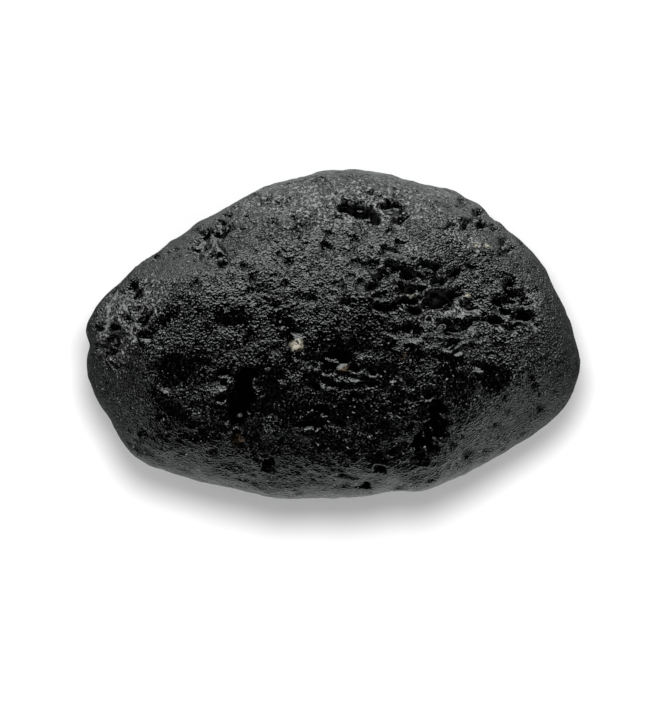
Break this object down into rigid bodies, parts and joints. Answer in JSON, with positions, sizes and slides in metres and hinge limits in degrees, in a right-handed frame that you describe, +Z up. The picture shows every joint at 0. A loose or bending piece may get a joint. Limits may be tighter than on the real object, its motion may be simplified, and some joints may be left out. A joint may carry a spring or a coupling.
{
  "type": "tektite",
  "caption": "Large black tektite: an egg-shaped lump of natural glass lying on its side, with etched pits, hollows and grooves.",
  "frame": {"origin": "middle of the stone in plan, on the surface that it rests on", "axes": "+X along the stone towards its blunt end, +Z up away from the worn flat that it rests on"},
  "size_m": [0.0642, 0.0428, 0.0358],
  "materials": {
    "tektite_glass": "satin"
  },
  "bodies": {
    "root": {"tektite": "tektite_glass"}
  },
  "joints": []
}
